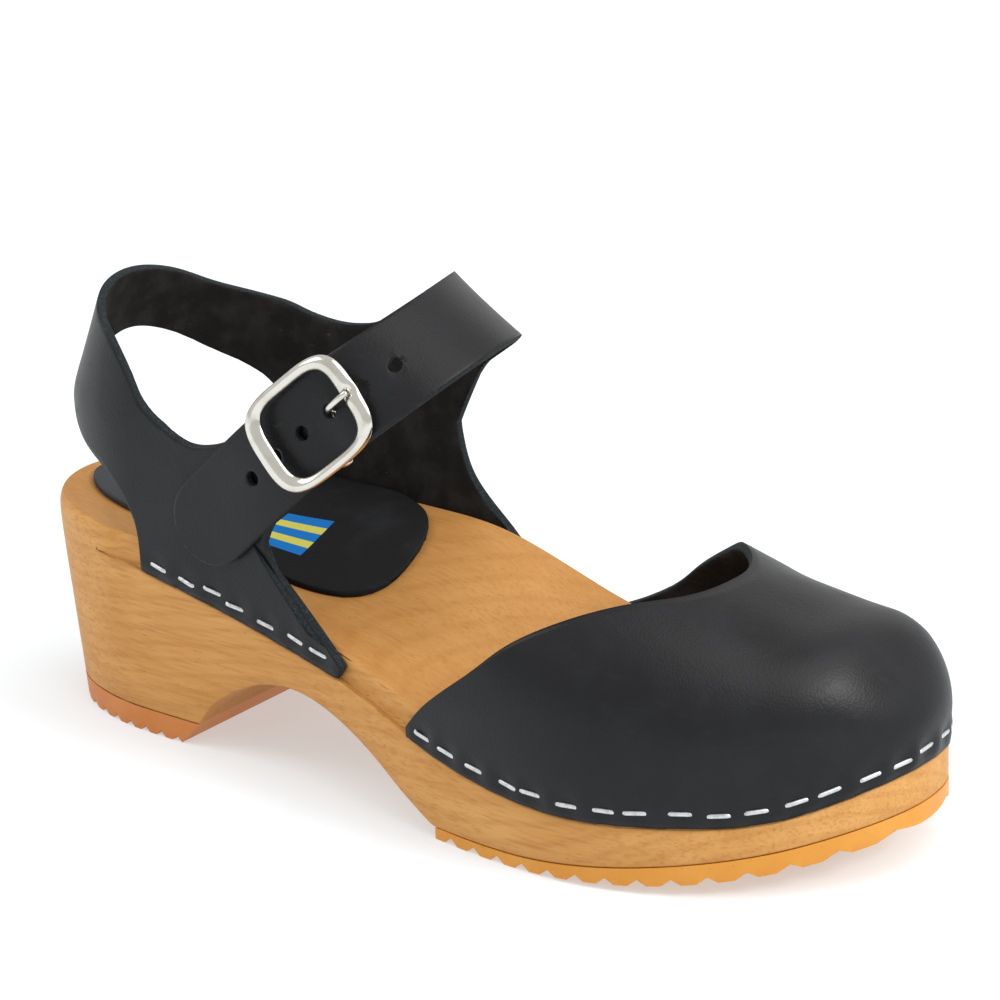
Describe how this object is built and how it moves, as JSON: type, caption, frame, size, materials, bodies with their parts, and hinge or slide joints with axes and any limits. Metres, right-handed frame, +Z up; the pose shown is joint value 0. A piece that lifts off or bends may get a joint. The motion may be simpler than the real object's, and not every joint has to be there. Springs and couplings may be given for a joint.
{
  "type": "clog sandal",
  "caption": "Closed-toe clog sandal with a wooden sole, ribbed rubber treads, a heel sling and a buckled instep strap.",
  "frame": {"origin": "on the flat crest of the middle rib of the heel's tread, on the floor, on the heel's centre line", "axes": "+X along the shoe from heel to toe, +Y towards the inner side of the foot, +Z up; the buckle is on the outer side, -Y"},
  "size_m": [0.2528, 0.0953, 0.1223],
  "materials": {
    "alder_wood": "clear satin lacquer",
    "heel_rubber": "matte",
    "forefoot_rubber": "matte",
    "sock_lining": "matte",
    "black_leather": "semi-matte smooth",
    "buckle_metal": "polished nickel"
  },
  "bodies": {
    "root": {"wood_base": "alder_wood", "heel_outsole": "heel_rubber", "forefoot_outsole": "forefoot_rubber", "heel_pad": "sock_lining", "vamp": "black_leather", "back_piece": "black_leather", "buckle_frame": "buckle_metal", "buckle_prong": "buckle_metal"}
  },
  "joints": []
}
